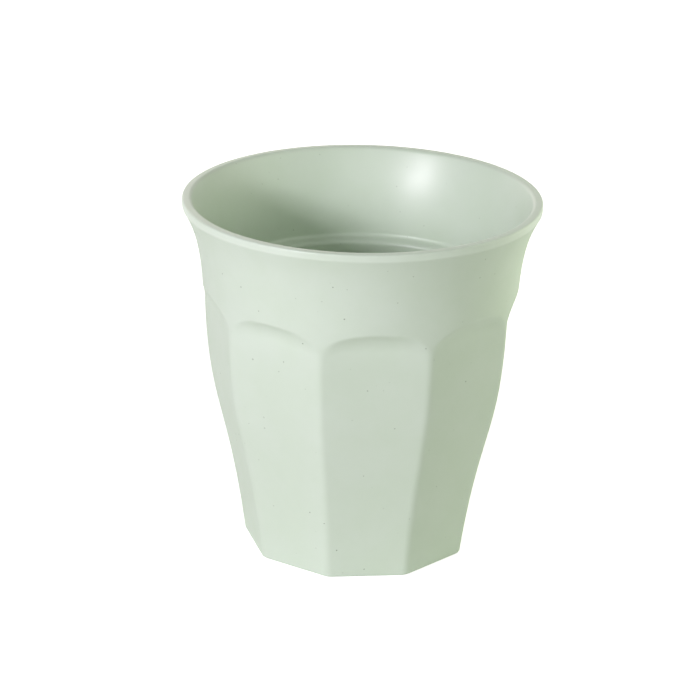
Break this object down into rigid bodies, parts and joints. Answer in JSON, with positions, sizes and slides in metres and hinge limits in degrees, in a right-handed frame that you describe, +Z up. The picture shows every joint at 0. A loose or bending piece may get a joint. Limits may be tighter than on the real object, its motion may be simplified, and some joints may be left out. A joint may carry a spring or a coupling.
{
  "type": "reusable cup",
  "caption": "Reusable plastic cup with a faceted matte outer shell, arched flats, a flared collar and a smooth round liner with a banded lip and stacking ledge.",
  "frame": {"origin": "centre of the foot, on the surface that the cup stands on", "axes": "+Z up along the cup's axis, -Y through the middle of one flat"},
  "size_m": [0.0886, 0.0886, 0.09],
  "materials": {
    "matte_shell": "matte pale sage green moulded plastic with fine darker fibre flecks",
    "satin_liner": "satin pale sage green moulded plastic, smoother than the outside"
  },
  "bodies": {
    "root": {"outer_shell": "matte_shell", "inner_liner": "satin_liner"}
  },
  "joints": []
}
